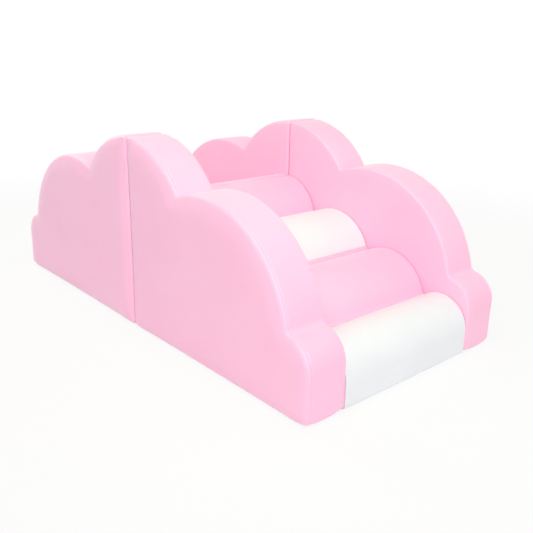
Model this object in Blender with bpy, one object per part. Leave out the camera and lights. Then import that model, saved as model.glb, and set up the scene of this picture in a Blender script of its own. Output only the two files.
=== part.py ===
"""Soft play climber: two covered foam blocks in line, one with rolls as steps and one as a slide,
each held between two foam walls with a cloud-shaped top edge.

X runs along the length with the step end at +X, Y across and Z up. The origin is on the floor under
the middle. Every module is drawn in its own plane: u is the distance from the face where the two
halves meet, z the height and v the distance from the module's middle plane, positive outwards.
"""
import math

import bmesh
import bpy
from mathutils import Vector

# Driving dimensions in metres

MODULE_LENGTH = 0.7485
BLOCK_WIDTH = 0.4924
WALL_THICKNESS = 0.1245
MODULE_GAP = 0.0030

COVER = 0.0010
CLEARANCE = 0.0003
SEAM_GAP = 0.0003

WALL_EDGE_RADIUS = 0.012
BLOCK_EDGE_RADIUS = 0.008
BASE_CORNER_RADIUS = 0.013
JOINT_EDGE_RADIUS = 0.013

WALL_SIDE_CROWN = 0.0060
GUSSET_CROWN = 0.0020
CROWN_RING = 0.034

# Lobes of the cloud outline: the height of each centre and its radius. The top lobe's centre lies
# by the joint face, the low lobe touches the free end, and the middle one lies nearer the free end
# by its lead than halfway between them.
TOP_LOBE_U = -0.0040
TOP_LOBE_Z = 0.2755
TOP_LOBE_RADIUS = 0.2972
MIDDLE_LOBE_LEAD = 0.0233
MIDDLE_LOBE_Z = 0.1464
MIDDLE_LOBE_RADIUS = 0.3224
LOW_LOBE_Z = 0.1295
LOW_LOBE_RADIUS = 0.0777
CREASE_RADIUS = 0.0035
LOW_VALLEY_RADIUS = 0.0220

# Rolls of the steps, from the top down. Roll 1 lies by the joint face and roll 4 touches the free
# end. The leads of rolls 2 and 3 are measured from an even spacing between those two.
ROLL_1_U = 0.0005
ROLL_1_Z = 0.2535
ROLL_1_RADIUS = 0.1390
ROLL_2_LEAD = 0.0113
ROLL_2_Z = 0.1675
ROLL_2_RADIUS = 0.1515
ROLL_3_LEAD = 0.0207
ROLL_3_Z = 0.1005
ROLL_3_RADIUS = 0.1415
ROLL_4_Z = 0.0700
ROLL_4_RADIUS = 0.0890
ROLL_VALLEY_RADIUS = 0.0090
# How far above its valley the seam under roll 2 lies
ROLL_2_LIP = 0.0100

# Slide: a curve with a level start and a level foot
SLIDE_TOP = 0.3925
SLIDE_FOOT = 0.0450
SLIDE_FOOT_RADIUS = 0.0140
SLIDE_TOP_HANDLE = 0.1800
SLIDE_FOOT_HANDLE = 0.3200

# Zip in the underside of every module
ZIP_LENGTH = 0.5600
ZIP_SLOT_WIDTH = 0.0140
ZIP_LIP_HEIGHT = 0.0070
ZIP_TAPE_WIDTH = 0.0100
ZIP_TAPE = 0.0006
ZIP_COIL_WIDTH = 0.0016
ZIP_COIL_HEIGHT = 0.0024
ZIP_COIL_CREST = 0.0011
ZIP_COIL_SPACING = 0.0010
SLIDER_LENGTH = 0.0090
SLIDER_PLATE = 0.0012
SLIDER_POST = 0.0004
SLIDER_FLARE = 0.0010
SLIDER_PARK = 0.0060
ZIP_STOP_LENGTH = 0.0050

# Hook-and-loop strips between the modules
GRIP_WIDTH = 0.038
GRIP_THICKNESS = 0.0010
SIDE_GRIP_START = 0.050
SIDE_GRIP_LENGTH = 0.520
SIDE_GRIP_Z = 0.022
JOINT_GRIP_LENGTH = 0.360
JOINT_GRIP_Z = 0.240

# Fineness of the round stretches
LOBE_SAG = 0.0009
CORNER_STEPS = 2
VALLEY_STEPS = 2
SLIDE_STEPS = 12
EDGE_ANGLES = [math.radians(a) for a in (0, 30, 60, 90)]
CROWN_SHARES = (-1, -0.45, 0.45, 1)
SHARP_ANGLE = math.radians(50)

# Lobes and rolls as u and z of the centre, and the radius
TOP_LOBE = (TOP_LOBE_U, TOP_LOBE_Z, TOP_LOBE_RADIUS)
LOW_LOBE = (MODULE_LENGTH - LOW_LOBE_RADIUS, LOW_LOBE_Z, LOW_LOBE_RADIUS)
MIDDLE_LOBE = ((TOP_LOBE[0] + LOW_LOBE[0]) / 2 + MIDDLE_LOBE_LEAD, MIDDLE_LOBE_Z, MIDDLE_LOBE_RADIUS)
ROLL_1 = (ROLL_1_U, ROLL_1_Z, ROLL_1_RADIUS)
ROLL_4 = (MODULE_LENGTH - ROLL_4_RADIUS, ROLL_4_Z, ROLL_4_RADIUS)
ROLL_PITCH = (ROLL_4[0] - ROLL_1[0]) / 3
ROLL_2 = (ROLL_1[0] + ROLL_PITCH + ROLL_2_LEAD, ROLL_2_Z, ROLL_2_RADIUS)
ROLL_3 = (ROLL_1[0] + 2 * ROLL_PITCH + ROLL_3_LEAD, ROLL_3_Z, ROLL_3_RADIUS)

# Sizes that follow from the ones above
WALL_CENTRE_Y = BLOCK_WIDTH / 2 + MODULE_GAP + WALL_THICKNESS / 2
FOAM_DEPTH = COVER + CLEARANCE
ZIP_PLANE_Z = ZIP_LIP_HEIGHT + CLEARANCE + ZIP_TAPE / 2
SLIDER_INSIDE = ZIP_COIL_HEIGHT / 2 + CLEARANCE
SLIDER_OUTSIDE = SLIDER_INSIDE + SLIDER_PLATE
ZIP_GROOVE_TOP = ZIP_PLANE_Z + SLIDER_OUTSIDE + 2 * CLEARANCE
ZIP_GROOVE_WIDTH = ZIP_COIL_SPACING + 2 * ZIP_TAPE_WIDTH + 4 * CLEARANCE


# Finishes

def finish(name, colour, roughness, metallic=0.0):
    material = bpy.data.materials.new(name)
    material.use_nodes = True
    shader = material.node_tree.nodes["Principled BSDF"]
    shader.inputs["Base Color"].default_value = (*colour, 1.0)
    shader.inputs["Roughness"].default_value = roughness
    shader.inputs["Metallic"].default_value = metallic
    material.diffuse_color = (*colour, 1.0)
    return material


# Outlines in the plane of u and z, once round against the clock from the base's joint corner

def arc(centre, radius, start, end, steps):
    angles = [start + (end - start) * k / steps for k in range(steps + 1)]
    return [Vector((centre[0] + radius * math.cos(a), centre[1] + radius * math.sin(a))) for a in angles]


def lobe_arc(lobe, start, end):
    widest = 2 * math.acos(1 - LOBE_SAG / lobe[2])
    steps = max(2, math.ceil(abs(end - start) / widest))
    return arc(lobe[:2], lobe[2], start, end, steps)


def valley_centre(lower, upper, radius):
    """Centre of the small circle that lies in the valley between two lobes and touches both."""
    a, b = Vector(lower[:2]), Vector(upper[:2])
    reach_a, reach_b = lower[2] + radius, upper[2] + radius
    apart = (b - a).length
    along = (apart ** 2 + reach_a ** 2 - reach_b ** 2) / (2 * apart)
    aside = math.sqrt(reach_a ** 2 - along ** 2)
    way = (b - a) / apart
    return a + way * along + Vector((way.y, -way.x)) * aside


def bearing(origin, target):
    return math.atan2(target[1] - origin[1], target[0] - origin[0])


def valley_arc(centre, lower, upper, radius):
    start, end = bearing(centre, lower), bearing(centre, upper)
    if end > start:
        end -= 2 * math.pi
    return arc(centre, radius, start, end, 2 * VALLEY_STEPS)


def corner_centre(free_end):
    r = BASE_CORNER_RADIUS
    return Vector((MODULE_LENGTH - r if free_end else r, r))


def base_corner(free_end):
    """The rounded corner between the base and an upright face, in the order of travel."""
    start = -math.pi / 2 if free_end else math.pi
    return arc(corner_centre(free_end), BASE_CORNER_RADIUS, start, start + math.pi / 2, CORNER_STEPS)


def joint_edge_centre(lobe):
    """Centre of the rounding between a top lobe and the face where the halves meet."""
    r = JOINT_EDGE_RADIUS
    reach = lobe[2] - r
    return Vector((r, lobe[1] + math.sqrt(reach ** 2 - (r - lobe[0]) ** 2)))


def lobed_top(lobes, radii, lips):
    """Runs of points over a row of lobes from the free end up to the joint face.

    Each valley has its radius and its lip. The cut between two runs lies in the middle of the valley,
    or on the lobe above it where the valley has a lip.
    """
    runs, points, start = [], [], 0.0
    for lobe, above, radius, lip in zip(lobes, lobes[1:], radii, lips):
        centre = valley_centre(lobe, above, radius)
        points += lobe_arc(lobe, start, bearing(lobe, centre))
        valley = valley_arc(centre, lobe, above, radius)
        start = bearing(above, centre)
        if lip:
            cut = start + lip / above[2]
            runs.append(points + valley[1:-1] + lobe_arc(above, start, cut))
            points, start = [], cut
        else:
            runs.append(points + valley[1:VALLEY_STEPS + 1])
            points = valley[VALLEY_STEPS:-1]
    edge = joint_edge_centre(lobes[-1])
    turn = bearing(lobes[-1], edge)
    points += lobe_arc(lobes[-1], start, turn)
    points += arc(edge, JOINT_EDGE_RADIUS, turn, math.pi, CORNER_STEPS + 1)[1:]
    return runs + [points]


def slide_top():
    """Points from the slide's foot over its curve to the joint face."""
    foot_r, top_r = SLIDE_FOOT_RADIUS, JOINT_EDGE_RADIUS
    points = arc((MODULE_LENGTH - foot_r, SLIDE_FOOT - foot_r), foot_r, 0, math.pi / 2, CORNER_STEPS)
    start = Vector((MODULE_LENGTH - foot_r, SLIDE_FOOT))
    end = Vector((top_r, SLIDE_TOP))
    after = start - Vector((SLIDE_FOOT_HANDLE, 0))
    before = end + Vector((SLIDE_TOP_HANDLE, 0))
    for k in range(1, SLIDE_STEPS):
        t = k / SLIDE_STEPS
        s = 1 - t
        points.append(s ** 3 * start + 3 * s * s * t * after + 3 * s * t * t * before + t ** 3 * end)
    points += arc((top_r, SLIDE_TOP - top_r), top_r, math.pi / 2, math.pi, CORNER_STEPS + 1)
    return points


class Outline:
    """A closed outline cut into named runs, which can be drawn inwards by any distance.

    Each station holds a point and its inward step. On a tight corner the step holds only up to most
    of the corner's radius, and from there the corner moves inwards along its own diagonal.
    """

    TIGHT_SHARE = 0.9
    ON_CORNER_SHARE = 0.001

    def __init__(self, runs, corners):
        self.points, self.spans = [], {}
        for name, points in runs:
            first = len(self.points)
            self.points += points[:-1]
            self.spans[name] = (first, first + len(points) - 1)
        count = len(self.points)
        self.ring = []
        for k, point in enumerate(self.points):
            before = (point - self.points[k - 1]).normalized()
            after = (self.points[(k + 1) % count] - point).normalized()
            left = (Vector((-before.y, before.x)) + Vector((-after.y, after.x))).normalized()
            inward = left / left.dot(Vector((-after.y, after.x)))
            self.ring.append((point, inward, math.inf, Vector((0, 0))))
        for centre, radius in corners:
            self.mark_corner(centre, radius)

    def mark_corner(self, centre, radius):
        near = self.ON_CORNER_SHARE * radius
        on_it = [k for k, p in enumerate(self.points) if abs((p - centre).length - radius) < near]
        first, last = [(centre - self.points[k]).normalized() for k in (on_it[0], on_it[-1])]
        diagonal = (first + last) / (1 + first.dot(last))
        for k in on_it:
            self.ring[k] = (*self.ring[k][:2], self.TIGHT_SHARE * radius, diagonal)

    def run(self, name):
        """The stations of one run, with its two ends drawn back by half a seam gap."""
        first, last = self.spans[name]
        stations = [self.ring[k % len(self.ring)] for k in range(first, last + 1)]
        for end, neighbour in ((0, 1), (-1, -2)):
            (p, m, *rest), (q, n, *_) = stations[end], stations[neighbour]
            share = SEAM_GAP / 2 / (q - p).length
            stations[end] = (p.lerp(q, share), m.lerp(n, share), *rest)
        return stations


def drawn_in(station, distance):
    point, inward, limit, diagonal = station
    near = min(distance, limit)
    return point + inward * near + diagonal * (distance - near)


def upright(u, low, high, steps):
    return [Vector((u, low + (high - low) * k / steps)) for k in range(steps + 1)]


def base_corners():
    return [(corner_centre(free_end), BASE_CORNER_RADIUS) for free_end in (True, False)]


def wall_outline():
    lobes = [LOW_LOBE, MIDDLE_LOBE, TOP_LOBE]
    low, middle, crest = lobed_top(lobes, [LOW_VALLEY_RADIUS, CREASE_RADIUS], [0.0, 0.0])
    end = upright(MODULE_LENGTH, BASE_CORNER_RADIUS, LOW_LOBE_Z, 2)
    face = upright(0.0, crest[-1].y, BASE_CORNER_RADIUS, 1)
    shoulder = base_corner(True) + end[1:-1] + low + middle[1:]
    crest = crest + face[1:] + base_corner(False)[1:]
    base = [crest[-1], shoulder[0]]
    edge = (joint_edge_centre(TOP_LOBE), JOINT_EDGE_RADIUS)
    return Outline([("base", base), ("shoulder", shoulder), ("crest", crest)], base_corners() + [edge])


def step_outline():
    rolls = lobed_top([ROLL_4, ROLL_3, ROLL_2, ROLL_1], [ROLL_VALLEY_RADIUS] * 3, [0.0, ROLL_2_LIP, 0.0])
    rolls[0] = base_corner(True) + rolls[0]
    rolls[-1] = rolls[-1] + base_corner(False)
    runs = [("base", [rolls[-1][-1], rolls[0][0]])]
    runs += [(f"roll_{4 - k}", points) for k, points in enumerate(rolls)]
    return Outline(runs, base_corners())


def slide_outline():
    slide = base_corner(True) + slide_top() + base_corner(False)
    return Outline([("base", [slide[-1], slide[0]]), ("slide", slide)], base_corners())


# Sections across a module, as pairs of inward step and v, at a depth under the cover's face

def rounded_edge(side, half, radius, depth):
    """From the side face (angle 0) round to the gusset (a right angle)."""
    return [
        (radius - (radius - depth) * math.sin(a), side * (half - radius + (radius - depth) * math.cos(a)))
        for a in EDGE_ANGLES
    ]


def side_section(side, half, radius, crown, depth):
    """From the middle of a side face out to its seam with the gusset."""
    middle = [(radius + CROWN_RING, side * (half - depth + crown))] if crown else []
    return middle + rounded_edge(side, half, radius, depth)


def gusset_section(half, radius, shares, crown, depth):
    """Across the gusset from one seam to the other."""
    reach = half - radius - SEAM_GAP
    return [(depth - crown * (1 - s * s), s * reach) for s in shares]


class Module:
    """One padded module: its place, its outline and the bodies of its cover and foam."""

    def __init__(self, name, outline, half_width, edge_radius, crowns, half, side, centre_y):
        self.name, self.outline = name, outline
        self.half_width, self.edge_radius = half_width, edge_radius
        self.outer_crown, self.gusset_crown = crowns
        self.half, self.side = half, side
        self.frame = bpy.data.objects.new(name, None)
        self.frame.location = (half * MODULE_GAP / 2, centre_y, 0)
        bpy.context.collection.objects.link(self.frame)

    def place(self, u, v, z):
        return (self.half * u, self.side * v, z)

    def skin(self, stations, section):
        """A grid of points: one row for each station, one point for each entry of the section."""
        rows = []
        for station in stations:
            row = [(drawn_in(station, inset), v) for inset, v in section]
            rows.append([self.place(p.x, v, p.y) for p, v in row])
        return rows

    def add(self, name, points, faces, material, origin=(0, 0, 0)):
        mesh = bpy.data.meshes.new(f"{self.name}_{name}")
        shift = Vector(origin)
        mesh.from_pydata([Vector(p) - shift for p in points], [], faces)
        body = bpy.data.objects.new(f"{self.name}_{name}", mesh)
        bpy.context.collection.objects.link(body)
        body.parent = self.frame
        body.location = origin
        mesh.materials.append(material)
        work = bmesh.new()
        work.from_mesh(mesh)
        bmesh.ops.recalc_face_normals(work, faces=work.faces)
        work.to_mesh(mesh)
        work.free()
        mesh.shade_smooth()
        mesh.set_sharp_from_angle(angle=SHARP_ANGLE)
        return body

    def sheet(self, name, outer, inner, closed, filled, material):
        """A cover panel: the outer and the inner grid of points, joined all round its edge.

        A closed panel runs round the whole outline, and a filled one covers its middle too.
        """
        rows, columns = len(outer), len(outer[0])
        flat = [p for row in outer for p in row] + [p for row in inner for p in row]
        under = rows * columns
        faces = []
        for i in range(rows if closed else rows - 1):
            j = (i + 1) % rows
            for k in range(columns - 1):
                a, b = i * columns + k, i * columns + k + 1
                c, d = j * columns + k + 1, j * columns + k
                faces += [(a, b, c, d), (under + d, under + c, under + b, under + a)]
            if not filled:
                faces.append((i * columns, j * columns, under + j * columns, under + i * columns))
            e, f = i * columns + columns - 1, j * columns + columns - 1
            faces.append((e, f, under + f, under + e))
        if filled:
            faces.append([i * columns for i in range(rows)])
            faces.append([under + i * columns for i in range(rows)])
        if not closed:
            for i in (0, rows - 1):
                for k in range(columns - 1):
                    a = i * columns + k
                    faces.append((a, a + 1, under + a + 1, under + a))
        return self.add(name, flat, faces, material)

    def side_panel(self, name, side, crown, material):
        sections = [
            side_section(side, self.half_width, self.edge_radius, crown, depth)
            for depth in (0.0, COVER)
        ]
        outer, inner = [self.skin(self.outline.ring, s) for s in sections]
        return self.sheet(name, outer, inner, True, True, material)

    def gusset(self, name, run, material):
        """A strip of cover over one run of the outline.

        Its crown fades out towards the floor, and there is none on the face that meets the other half.
        """
        shares = CROWN_SHARES if self.gusset_crown else (-1, 1)
        outer, inner = [], []
        for station in self.outline.run(run):
            u, z = station[0]
            crown = self.gusset_crown * min(1.0, z / LOW_LOBE_Z) if u > JOINT_EDGE_RADIUS else 0.0
            for grid, depth in ((outer, 0.0), (inner, COVER)):
                section = gusset_section(self.half_width, self.edge_radius, shares, crown, depth)
                grid += self.skin([station], section)
        return self.sheet(name, outer, inner, False, False, material)

    def foam(self, material):
        """The core inside the cover, with the groove for the zip cut in its underside."""
        args = self.half_width, self.edge_radius
        left = side_section(-1, *args, 0.0, FOAM_DEPTH)
        right = side_section(1, *args, self.outer_crown, FOAM_DEPTH)
        grid = self.skin(self.outline.ring, left + right[::-1])
        rows, columns = len(grid), len(grid[0])
        points = [p for row in grid for p in row]
        faces = []
        for i in range(rows):
            j = (i + 1) % rows
            for k in range(columns - 1):
                a, d = i * columns + k, j * columns + k
                faces.append((a, a + 1, d + 1, d))
        faces.append([i * columns for i in range(rows)])
        faces.append([i * columns + columns - 1 for i in range(rows)])
        core = self.add("foam", points, faces, material)
        length = ZIP_LENGTH + 2 * COVER + 4 * CLEARANCE
        self.cut(core, self.middle_box("zip_groove", length, ZIP_GROOVE_WIDTH, -COVER, ZIP_GROOVE_TOP, material))
        return core

    def cut(self, body, cutter):
        cutter.hide_render = True
        cutter.display_type = "WIRE"
        cut = body.modifiers.new(cutter.name, "BOOLEAN")
        cut.object = cutter

    def box(self, name, low, high, material):
        """A box from its low to its high corner in u, v and z."""
        points = [self.place(u, v, z) for z in (low[2], high[2]) for u, v in
                  ((low[0], low[1]), (high[0], low[1]), (high[0], high[1]), (low[0], high[1]))]
        faces = [(0, 1, 2, 3), (4, 5, 6, 7), (0, 1, 5, 4), (1, 2, 6, 5), (2, 3, 7, 6), (3, 0, 4, 7)]
        return self.add(name, points, faces, material)

    def middle_box(self, name, length, width, low, high, material):
        """A box over the middle of the base."""
        u, reach, v = MODULE_LENGTH / 2, length / 2, width / 2
        return self.box(name, (u - reach, -v, low), (u + reach, v, high), material)

    def base_panel(self, material):
        """The underside: a flat sheet with a slot for the zip, whose edges turn up as lips."""
        first, last = [station[0] for station in self.outline.run("base")]
        reach = self.half_width - self.edge_radius - SEAM_GAP
        middle, slot_u, slot_v = MODULE_LENGTH / 2, ZIP_LENGTH / 2, ZIP_SLOT_WIDTH / 2

        def loop(u_low, u_high, v, z):
            return [self.place(u, w, z) for u, w in ((u_low, -v), (u_high, -v), (u_high, v), (u_low, v))]

        low, high = middle - slot_u, middle + slot_u
        loops = [
            loop(first.x, last.x, reach, 0.0),
            loop(low, high, slot_v, 0.0),
            loop(low, high, slot_v, ZIP_LIP_HEIGHT),
            loop(low - COVER, high + COVER, slot_v + COVER, ZIP_LIP_HEIGHT),
            loop(low - COVER, high + COVER, slot_v + COVER, COVER),
            loop(first.x, last.x, reach, COVER),
        ]
        points = [p for ring in loops for p in ring]
        faces = []
        for k in range(len(loops)):
            a, b = 4 * k, 4 * ((k + 1) % len(loops))
            for i in range(4):
                j = (i + 1) % 4
                faces.append((a + i, a + j, b + j, b + i))
        return self.add("base_panel", points, faces, material)

    def extrude(self, section, u_start, u_end, flare=0.0):
        """Points and faces of a section of v and z drawn along u.

        What lies outside the coil gap is wider by the flare at the far end.
        """
        points = [self.place(u_start, v, z) for v, z in section]
        for v, z in section:
            grow = flare if abs(v) > ZIP_COIL_SPACING else 0.0
            points.append(self.place(u_end, v + math.copysign(grow, v), z))
        count = len(section)
        faces = [(i, (i + 1) % count, count + (i + 1) % count, count + i) for i in range(count)]
        return points, faces + [list(range(count)), list(range(count, 2 * count))]

    def zip_chain(self, material):
        """Two tapes with a coil row each, joined by the end stops.

        A narrow gap between the coil rows lets the slider's post run along the zip.
        """
        bead, high, tape = ZIP_COIL_WIDTH, ZIP_COIL_HEIGHT / 2, ZIP_TAPE / 2
        near = ZIP_COIL_SPACING / 2
        quarter = [(near + ZIP_TAPE_WIDTH, tape), (near + bead, tape), (near + ZIP_COIL_CREST, high)]
        section = quarter + [(-v, z) for v, z in reversed(quarter)]
        section = [(v, ZIP_PLANE_Z + z) for v, z in section + [(-v, -z) for v, z in section]]
        start = (MODULE_LENGTH - ZIP_LENGTH) / 2
        chain = self.add("zip", *self.extrude(section, start, start + ZIP_LENGTH), material)
        slot = ZIP_LENGTH - 2 * ZIP_STOP_LENGTH
        low, top = ZIP_PLANE_Z - ZIP_COIL_HEIGHT, ZIP_PLANE_Z + ZIP_COIL_HEIGHT
        self.cut(chain, self.middle_box("coil_gap", slot, ZIP_COIL_SPACING, low, top, material))
        return chain

    def zip_slider(self, material):
        """Two plates on a post that runs between the coil rows, with lips round the coils."""
        inside, outside = SLIDER_INSIDE, SLIDER_OUTSIDE
        lip = ZIP_TAPE / 2 + CLEARANCE
        hug = ZIP_COIL_SPACING / 2 + ZIP_COIL_WIDTH + CLEARANCE
        rim = hug + SLIDER_PLATE
        bevel = SLIDER_PLATE / 3
        quarter = [
            (SLIDER_POST / 2, inside), (hug, inside), (hug, lip), (rim, lip),
            (rim, outside - bevel), (rim - bevel, outside),
        ]
        section = quarter + [(-v, z) for v, z in reversed(quarter)]
        section = section + [(-v, -z) for v, z in section]
        section = [(v, ZIP_PLANE_Z + z) for v, z in section]
        park = (MODULE_LENGTH + ZIP_LENGTH) / 2 - SLIDER_PARK
        points, faces = self.extrude(section, park - SLIDER_LENGTH, park, SLIDER_FLARE)
        origin = self.place(park - SLIDER_LENGTH / 2, 0.0, ZIP_PLANE_Z)
        return self.add("zip_slider", points, faces, material, origin)

    def side_strip(self, name, side, material):
        """A level hook-and-loop strip on a side face."""
        face = side * (self.half_width + CLEARANCE)
        v_low, v_high = sorted((face, face + side * GRIP_THICKNESS))
        low = (SIDE_GRIP_START, v_low, SIDE_GRIP_Z)
        high = (SIDE_GRIP_START + SIDE_GRIP_LENGTH, v_high, SIDE_GRIP_Z + GRIP_WIDTH)
        return self.box(name, low, high, material)

    def joint_strip(self, name, material):
        """A level hook-and-loop strip on the face that meets the other half."""
        low = (-CLEARANCE - GRIP_THICKNESS, -JOINT_GRIP_LENGTH / 2, JOINT_GRIP_Z)
        high = (-CLEARANCE, JOINT_GRIP_LENGTH / 2, JOINT_GRIP_Z + GRIP_WIDTH)
        return self.box(name, low, high, material)


def underside(module, finishes):
    module.base_panel(finishes["base"])
    module.zip_chain(finishes["zip"])
    module.zip_slider(finishes["slider"])


def make_wall(name, half, side, finishes):
    module = Module(name, wall_outline(), WALL_THICKNESS / 2, WALL_EDGE_RADIUS,
                    (WALL_SIDE_CROWN, GUSSET_CROWN), half, side, side * WALL_CENTRE_Y)
    module.foam(finishes["foam"])
    module.side_panel("outer_panel", 1, WALL_SIDE_CROWN, finishes["pink"])
    module.side_panel("inner_panel", -1, 0.0, finishes["pink"])
    module.gusset("crest_strip", "crest", finishes["pink"])
    module.gusset("shoulder_strip", "shoulder", finishes["pink"])
    underside(module, finishes)
    module.side_strip("hook_strip", -1, finishes["hook"])


def make_block(name, outline, half, covers, joint_side, finishes):
    module = Module(name, outline, BLOCK_WIDTH / 2, BLOCK_EDGE_RADIUS, (0.0, 0.0), half, 1, 0.0)
    module.foam(finishes["foam"])
    module.side_panel("left_side", -1, 0.0, finishes["pink"])
    module.side_panel("right_side", 1, 0.0, finishes["pink"])
    for panel, run, colour in covers:
        module.gusset(panel, run, finishes[colour])
    underside(module, finishes)
    module.side_strip("left_loop_strip", -1, finishes["loop"])
    module.side_strip("right_loop_strip", 1, finishes["loop"])
    module.joint_strip(f"joint_{joint_side}_strip", finishes[joint_side])


def build():
    for item in list(bpy.data.objects):
        bpy.data.objects.remove(item, do_unlink=True)
    finishes = {
        "pink": finish("pink cover", (0.93, 0.50, 0.66), 0.45),
        "white": finish("white cover", (0.90, 0.90, 0.90), 0.42),
        "foam": finish("foam", (0.86, 0.80, 0.62), 0.95),
        "base": finish("non-slip base", (0.62, 0.62, 0.64), 0.85),
        "zip": finish("zip tape and coil", (0.90, 0.55, 0.68), 0.60),
        "slider": finish("nickel slider", (0.70, 0.70, 0.72), 0.30, 1.0),
        "hook": finish("hook tape", (0.86, 0.86, 0.86), 0.80),
        "loop": finish("loop tape", (0.88, 0.88, 0.88), 0.98),
    }
    for half, word in ((1, "step"), (-1, "slide")):
        make_wall(f"{word}_left_wall", half, -1, finishes)
        make_wall(f"{word}_right_wall", half, 1, finishes)
    rolls = [(f"roll_{k}_cover", f"roll_{k}", "pink" if k % 2 else "white") for k in (1, 2, 3, 4)]
    make_block("step_block", step_outline(), 1, rolls, "loop", finishes)
    make_block("slide_block", slide_outline(), -1, [("slope_cover", "slide", "pink")], "hook", finishes)


build()
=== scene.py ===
# %% [markdown]
# # A soft play climber
#
# Six padded modules stand on a floor: a block of four rolls to climb, a block with a slide, and four
# walls with a cloud-shaped top. Each is a foam core in a sewn cover of coated fabric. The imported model
# gives every size and place, and this lesson dresses it: covers, seams, zips, tapes and finishes.

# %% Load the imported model
import math

import bpy
import numpy as np
from mathutils import Matrix, Vector, noise
from mathutils.bvhtree import BVHTree
from mathutils.geometry import delaunay_2d_cdt
from mathutils.interpolate import poly_3d_calc


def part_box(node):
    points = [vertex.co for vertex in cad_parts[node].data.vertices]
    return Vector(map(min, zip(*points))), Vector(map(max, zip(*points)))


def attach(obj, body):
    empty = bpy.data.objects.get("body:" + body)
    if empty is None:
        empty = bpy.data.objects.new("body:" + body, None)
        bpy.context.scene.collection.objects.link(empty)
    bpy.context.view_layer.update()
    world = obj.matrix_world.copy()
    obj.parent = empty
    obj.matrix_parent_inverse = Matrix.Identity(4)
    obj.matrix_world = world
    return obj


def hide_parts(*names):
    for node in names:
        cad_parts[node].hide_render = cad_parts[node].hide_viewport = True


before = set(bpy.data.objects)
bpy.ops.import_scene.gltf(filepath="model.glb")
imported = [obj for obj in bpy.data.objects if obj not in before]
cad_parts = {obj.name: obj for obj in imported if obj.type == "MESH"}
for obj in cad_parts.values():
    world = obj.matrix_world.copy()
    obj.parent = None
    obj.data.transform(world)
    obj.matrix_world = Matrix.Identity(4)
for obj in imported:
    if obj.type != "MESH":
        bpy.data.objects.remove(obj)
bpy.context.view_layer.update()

# %% [markdown]
# ## Camera, light and floor
#
# The camera comes first, because every later choice is judged through it. Its place and its lens were
# fitted to the object's floor corners, ridges and wall tops in the picture. The picture is square, so
# the lens is worked out from its width alone. The fit asks for a slight roll, which is kept.

# %% Camera
VIEW_AZIMUTH = math.radians(48.611)
VIEW_ELEVATION = math.radians(19.047)
VIEW_ROLL = math.radians(1.141)
CAMERA_PLACE = Vector((1.6949, -1.3354, 0.8574))
SENSOR = 36.0
FOCAL_PIXELS, PICTURE_PIXELS = 681.18, 533
LENS = SENSOR * FOCAL_PIXELS / PICTURE_PIXELS

scene = bpy.context.scene


def make_camera():
    data = bpy.data.cameras.new("camera")
    data.lens, data.sensor_width = LENS, SENSOR
    data.clip_start, data.clip_end = 0.05, 60
    camera = bpy.data.objects.new("camera", data)
    scene.collection.objects.link(camera)
    across = Vector((math.cos(VIEW_AZIMUTH), math.sin(VIEW_AZIMUTH), 0))
    flat = math.cos(VIEW_ELEVATION)
    back = Vector((math.sin(VIEW_AZIMUTH) * flat, -math.cos(VIEW_AZIMUTH) * flat, math.sin(VIEW_ELEVATION)))
    up = back.cross(across)
    right = math.cos(VIEW_ROLL) * across + math.sin(VIEW_ROLL) * up
    up = back.cross(right)
    turn = Matrix((right, up, back)).transposed()
    camera.matrix_world = Matrix.Translation(CAMERA_PLACE) @ turn.to_4x4()
    scene.camera = camera


make_camera()
print(f"the camera has a {LENS:.1f} mm lens and stands {CAMERA_PLACE.z:.2f} m above the floor")

# %% [markdown]
# ## Shader maths in plain Python
#
# A material is a graph of nodes, and wiring one by hand hides the idea behind it. Two small classes
# let us write it as sums instead. A `Value` is one output of a node: adding, multiplying or mixing
# Values adds the node that does it. A `Finish` is a material, and its `node` method adds any other
# node from its type, its settings and the values of its sockets.

# %% Values and finishes


class Value:
    """An output socket that plain operators work on."""

    def __init__(self, finish, socket):
        self.finish, self.socket = finish, socket

    def math(self, operation, *others):
        return self.finish.node("ShaderNodeMath", {"operation": operation}, {
            k: v for k, v in enumerate((self, *others))
        })

    def __add__(self, other):
        return self.math("ADD", other)

    def __sub__(self, other):
        return self.math("SUBTRACT", other)

    def __mul__(self, other):
        return self.math("MULTIPLY", other)

    def __rsub__(self, other):
        return self.finish.node("ShaderNodeMath", {"operation": "SUBTRACT"}, {0: other, 1: self})

    __radd__ = __add__
    __rmul__ = __mul__

    def between(self, low, high):
        """0 below low, 1 above high and a smooth step between them."""
        settings = {"interpolation_type": "SMOOTHSTEP"}
        return self.finish.node("ShaderNodeMapRange", settings, {0: self, 1: low, 2: high})


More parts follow.
